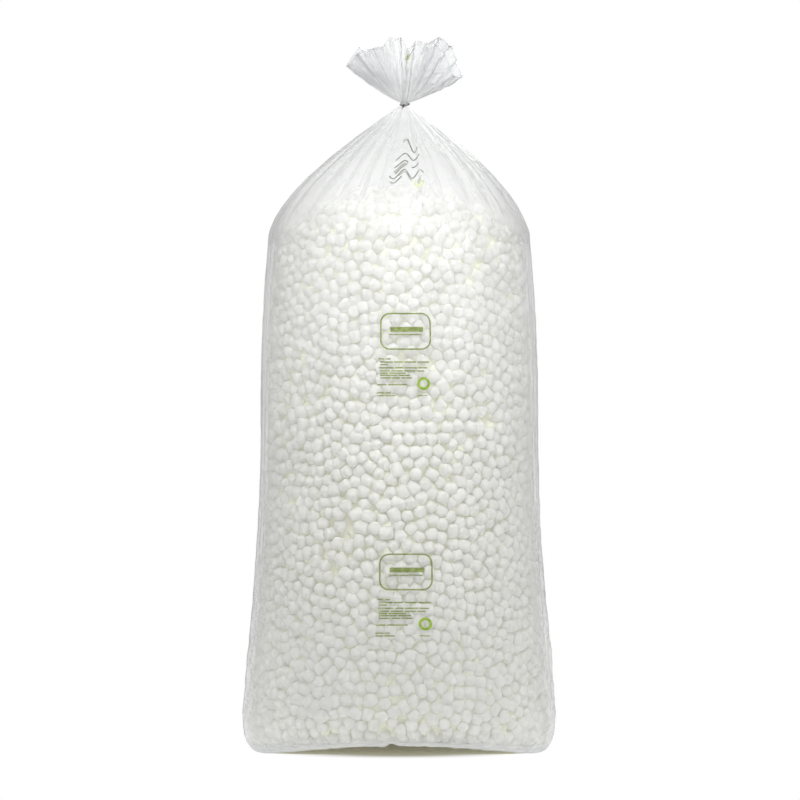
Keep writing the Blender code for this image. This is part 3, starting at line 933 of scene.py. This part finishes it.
def chip_points(name, places, seed, depth, tints):
    """A mesh of the chips' middles, with each chip's form, turn, size and shade."""
    draw = random.Random(seed)
    centres, turned, sizes, forms, shades = [], [], [], [], []
    for point, normal in places:
        axis = Vector([draw.gauss(0, 1) for _ in range(3)]).normalized()
        form = draw.randrange(len(CHIP_LENGTHS))
        size = draw.uniform(*CHIP_SIZES)
        inward = depth + draw.uniform(0.0, CHIP_UNEVENNESS)
        inward += chip_support(axis, normal, CHIP_LENGTHS[form]) * size
        centres.append(point - normal * inward)
        turned.append(tuple(axis.to_track_quat("Z", "Y").to_euler()))
        sizes.append(size)
        forms.append(form)
        # Painted shade: darker the nearer a chip lies to 0.3 m up, over a random tone of its own
        shades.append(draw.uniform(*tints) * blend(0.25, 1.0, ease(abs(point.z - 0.3) / 0.9)))
    data = bpy.data.meshes.new(name)
    data.from_pydata(centres, [], [])
    for key, kind, slot, values in (
        ("turned", "FLOAT_VECTOR", "vector", np.array(turned, dtype=float).ravel()),
        ("size", "FLOAT", "value", sizes), ("form", "INT", "value", forms),
        ("shade", "FLOAT", "value", shades),
    ):
        data.attributes.new(key, kind, "POINT").data.foreach_set(slot, values)
    return data


def chip_layer(name, places, seed, depth, group, tints):
    """One piece of chips, pressed against the film or lying under those that are."""
    data = chip_points(name, places, seed, depth, tints)
    points = bpy.data.objects.new(name + "_points", data)
    bpy.context.scene.collection.objects.link(points)
    points.modifiers.new("scatter", "NODES").node_group = group
    placed = points.evaluated_get(bpy.context.evaluated_depsgraph_get())
    solid = bpy.data.meshes.new_from_object(placed)
    solid.name = name
    bpy.data.objects.remove(points, do_unlink=True)
    piece = bpy.data.objects.new(name, solid)
    bpy.context.scene.collection.objects.link(piece)
    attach(piece, "root")
    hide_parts("chip_fill")


def in_bands(places):
    """Splits chips into bands of like number by height."""
    ordered = sorted(places, key=lambda item: item[0].z)
    size = math.ceil(len(ordered) / CHIP_BANDS)
    return [ordered[start:start + size] for start in range(0, len(ordered), size)]


filling = envelope_levels()
# The inner layer is painted darker and yellow-green as the shade in the gaps, and every foam has a
# painted glow
white_foam = chip_material("white_foam", (0.925, 0.925, 0.90), (0.80, 0.80, 0.75), 0.08, 0.09)
shaded_foam = chip_material("shaded_foam", (0.88, 0.885, 0.79), (0.79, 0.81, 0.66), 0.15, 0.25)
for layer, depth, count, seed, segments, foam, tints in (
    ("outer", 0.0, OUTER_CHIPS, 12, 12, white_foam, (0.2, 1.0)),
    ("inner", SECOND_LAYER, INNER_CHIPS, 8, 8, shaded_foam, (0.0, 1.0)),
):
    templates = bpy.data.collections.new(f"{layer}_chip_forms")
    for form, length in enumerate(CHIP_LENGTHS):
        templates.objects.link(chip_template(f"{layer}_chip_{form}", length, segments, foam))
    group = scatter_group(templates)
    places = scatter_places(filling, seed, count, CHIP_SPACING) + lowest_places(filling)
    for band, part in enumerate(in_bands(places)):
        chip_layer(f"peanuts_{layer}_{band}", part, CHIP_SEED + band, depth, group, tints)


# The core of the filling.
# Stands in for the peanuts further in: painted a pale yellow-green as the shade in the gaps, and
# given a painted glow.
CORE_ROWS = 60
CORE_COLUMNS = 110
CORE_LUMP = 0.024
CORE_LUMP_HEIGHT = 0.006


def core_piece():
    mesh = bmesh.new()
    bmesh.ops.create_grid(mesh, x_segments=CORE_COLUMNS, y_segments=CORE_ROWS, size=1.0)
    last = len(filling) - 1.001
    for vertex in mesh.verts:
        column = round((vertex.co.x + 1.0) / 2 * CORE_COLUMNS) % CORE_COLUMNS
        place = (vertex.co.y + 1.0) / 2 * last
        turn = 2 * math.pi * column / CORE_COLUMNS
        point = envelope_point(filling, turn, place)
        normal = envelope_normal(filling, turn, min(place, last - 0.4))
        lump = noise.noise(point / CORE_LUMP) * CORE_LUMP_HEIGHT
        vertex.co = point - normal * (CORE_DEPTH + lump)
        if place > last - 1e-6:
            vertex.co = envelope_point(filling, 0.0, last) - Vector((0.0, 0.0, CORE_DEPTH))
    bmesh.ops.remove_doubles(mesh, verts=mesh.verts, dist=1e-4)
    bmesh.ops.contextual_create(mesh, geom=[edge for edge in mesh.edges if edge.is_boundary])
    bmesh.ops.recalc_face_normals(mesh, faces=mesh.faces)
    return piece_from("peanuts_core", mesh)


core_painted_shade = chip_material("core_painted_shade", (0.83, 0.835, 0.74), (0.79, 0.795, 0.67), 0.17, 0.27)
core = core_piece()
core.data.materials.append(core_painted_shade)
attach(core, "root")
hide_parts("chip_fill")


# The wire tie.
# Dark coated wire, wound once round the neck, its ends twisted together at the front.
def wire_material():
    material, tree, shader = shaded_material("coated_wire")
    place = add_node(tree, "TexCoord").outputs["Object"]
    scuffs = add_node(tree, "TexNoise", {"Vector": place, "Scale": 900.0})
    ramp = add_node(tree, "ValToRGB", {"Fac": scuffs.outputs["Fac"]})
    ramp.color_ramp.elements[0].color = (0.025, 0.025, 0.02, 1.0)
    ramp.color_ramp.elements[1].color = (0.10, 0.10, 0.085, 1.0)
    feed(tree, shader, {
        "Base Color": ramp.outputs["Color"], "Metallic": 0.3, "Roughness": 0.4,
    })
    return material


tie = bpy.data.objects["tie_wire"]
tie.data.materials.clear()
tie.data.materials.append(wire_material())


# The stage.
# A white floor with a partly painted olive shadow under the bag and a painted glow near it, a white
# surround, and four softboxes.
FLOOR_RADIUS = 14.0
SHADOW_FADE = (0.28, 1.08)
PAINTED_BOUNCE_FADE = (4.5, 1.2)
WHITE = (1.0, 1.0, 1.0, 1.0)


def mixed(tree, share, first, second):
    """The output of a shader mixed from two others."""
    return add_node(tree, "MixShader", {0: share, 1: first, 2: second}).outputs["Shader"]


def emitted(tree, colour, strength=1.0):
    inputs = {"Color": colour, "Strength": strength}
    return add_node(tree, "Emission", inputs).outputs["Emission"]


def diffused(tree, colour):
    return add_node(tree, "BsdfDiffuse", {"Color": colour}).outputs["BSDF"]


def floor_material():
    """White to the camera but for a partly painted olive shadow under the bag, and a painted bounce
    glow near the bag for other rays.
    """
    material = bpy.data.materials.new("white_floor")
    material.use_nodes = True
    tree = material.node_tree
    tree.nodes.clear()
    squash = add_node(tree, "VectorMath", {
        0: add_node(tree, "TexCoord").outputs["Object"],
        1: (1.0 / FOOT_STAND[0], 1.0 / FOOT_CONTACT[1], 0.0),
    }, operation="MULTIPLY").outputs["Vector"]
    reach = add_node(tree, "VectorMath", {0: squash}, operation="LENGTH").outputs["Value"]
    fade = ranged(tree, reach, *SHADOW_FADE, interpolation_type="SMOOTHSTEP")
    # Painted shadow: three quarters a fixed olive glow, one quarter the floor's own lit shading
    painted_shadow = mixed(
        tree, 0.75, diffused(tree, (0.80, 0.76, 0.60, 1.0)), emitted(tree, (0.27, 0.255, 0.17, 1.0))
    )
    # Painted light: for other rays the floor glows near the bag and brightens its foot
    painted_bounce = emitted(tree, WHITE, ranged(tree, reach, *PAINTED_BOUNCE_FADE, 0.0, 0.30))
    table = add_node(tree, "AddShader", {0: diffused(tree, (0.80, 0.80, 0.80, 1.0)), 1: painted_bounce})
    seen = mixed(tree, fade, painted_shadow, emitted(tree, WHITE))
    camera_ray = add_node(tree, "LightPath").outputs["Is Camera Ray"]
    surface = mixed(tree, camera_ray, table.outputs["Shader"], seen)
    add_node(tree, "OutputMaterial", {"Surface": surface})
    return material


def floor_piece():
    mesh = bmesh.new()
    bmesh.ops.create_circle(mesh, cap_ends=True, segments=96, radius=FLOOR_RADIUS)
    floor = piece_from("floor", mesh)
    floor.data.materials.append(floor_material())
    return floor


floor_piece()


def white_world(strength):
    """A surround that lights the bag softly and that the camera sees as plain white."""
    world = bpy.data.worlds.new("surround")
    bpy.context.scene.world = world
    world.use_nodes = True
    tree = world.node_tree
    tree.nodes.clear()
    light, seen = (
        add_node(tree, "Background", {"Color": WHITE, "Strength": amount}).outputs["Background"]
        for amount in (strength, 1.0)
    )
    camera_ray = add_node(tree, "LightPath").outputs["Is Camera Ray"]
    add_node(tree, "OutputWorld", {"Surface": mixed(tree, camera_ray, light, seen)})


def softbox(name, place, target, size, watts):
    light = bpy.data.lights.new(name, "AREA")
    light.shape = "RECTANGLE"
    light.size, light.size_y = size
    light.energy = watts
    lamp = bpy.data.objects.new(name, light)
    lamp.location = place
    lamp.rotation_euler = (Vector(target) - Vector(place)).to_track_quat("-Z", "Y").to_euler()
    bpy.context.scene.collection.objects.link(lamp)


white_world(0.335)
softbox("key_left", (-3.1, -2.4, 3.0), (0.0, 0.0, 1.2), (0.5, 2.2), 29.0)
softbox("fill_right", (3.0, -2.4, 2.5), (0.0, 0.0, 1.1), (0.5, 2.2), 29.5)
softbox("top", (0.0, -2.2, 2.7), (0.0, 0.0, 1.1), (1.6, 1.0), 42.0)
softbox("behind", (0.4, 2.8, 3.2), (0.0, 0.0, 1.0), (1.8, 1.2), 55.0)


# The camera.
# Level with the bag's middle and far off, as the photograph was taken.
FRAME_WIDTH = 1.92
CAMERA_DISTANCE = 10.0
CAMERA_HEIGHT = 0.846
CAMERA_ASIDE = 0.0017
camera_data = bpy.data.cameras.new("camera")
camera_data.sensor_width = 36.0
camera_data.lens = camera_data.sensor_width * CAMERA_DISTANCE / FRAME_WIDTH
camera = bpy.data.objects.new("camera", camera_data)
camera.location = (CAMERA_ASIDE, -CAMERA_DISTANCE, CAMERA_HEIGHT)
camera.rotation_euler = (math.radians(90.0), 0.0, 0.0)
bpy.context.scene.collection.objects.link(camera)
bpy.context.scene.camera = camera
bpy.context.scene.view_settings.view_transform = "Standard"
bpy.context.scene.cycles.transparent_max_bounces = 48
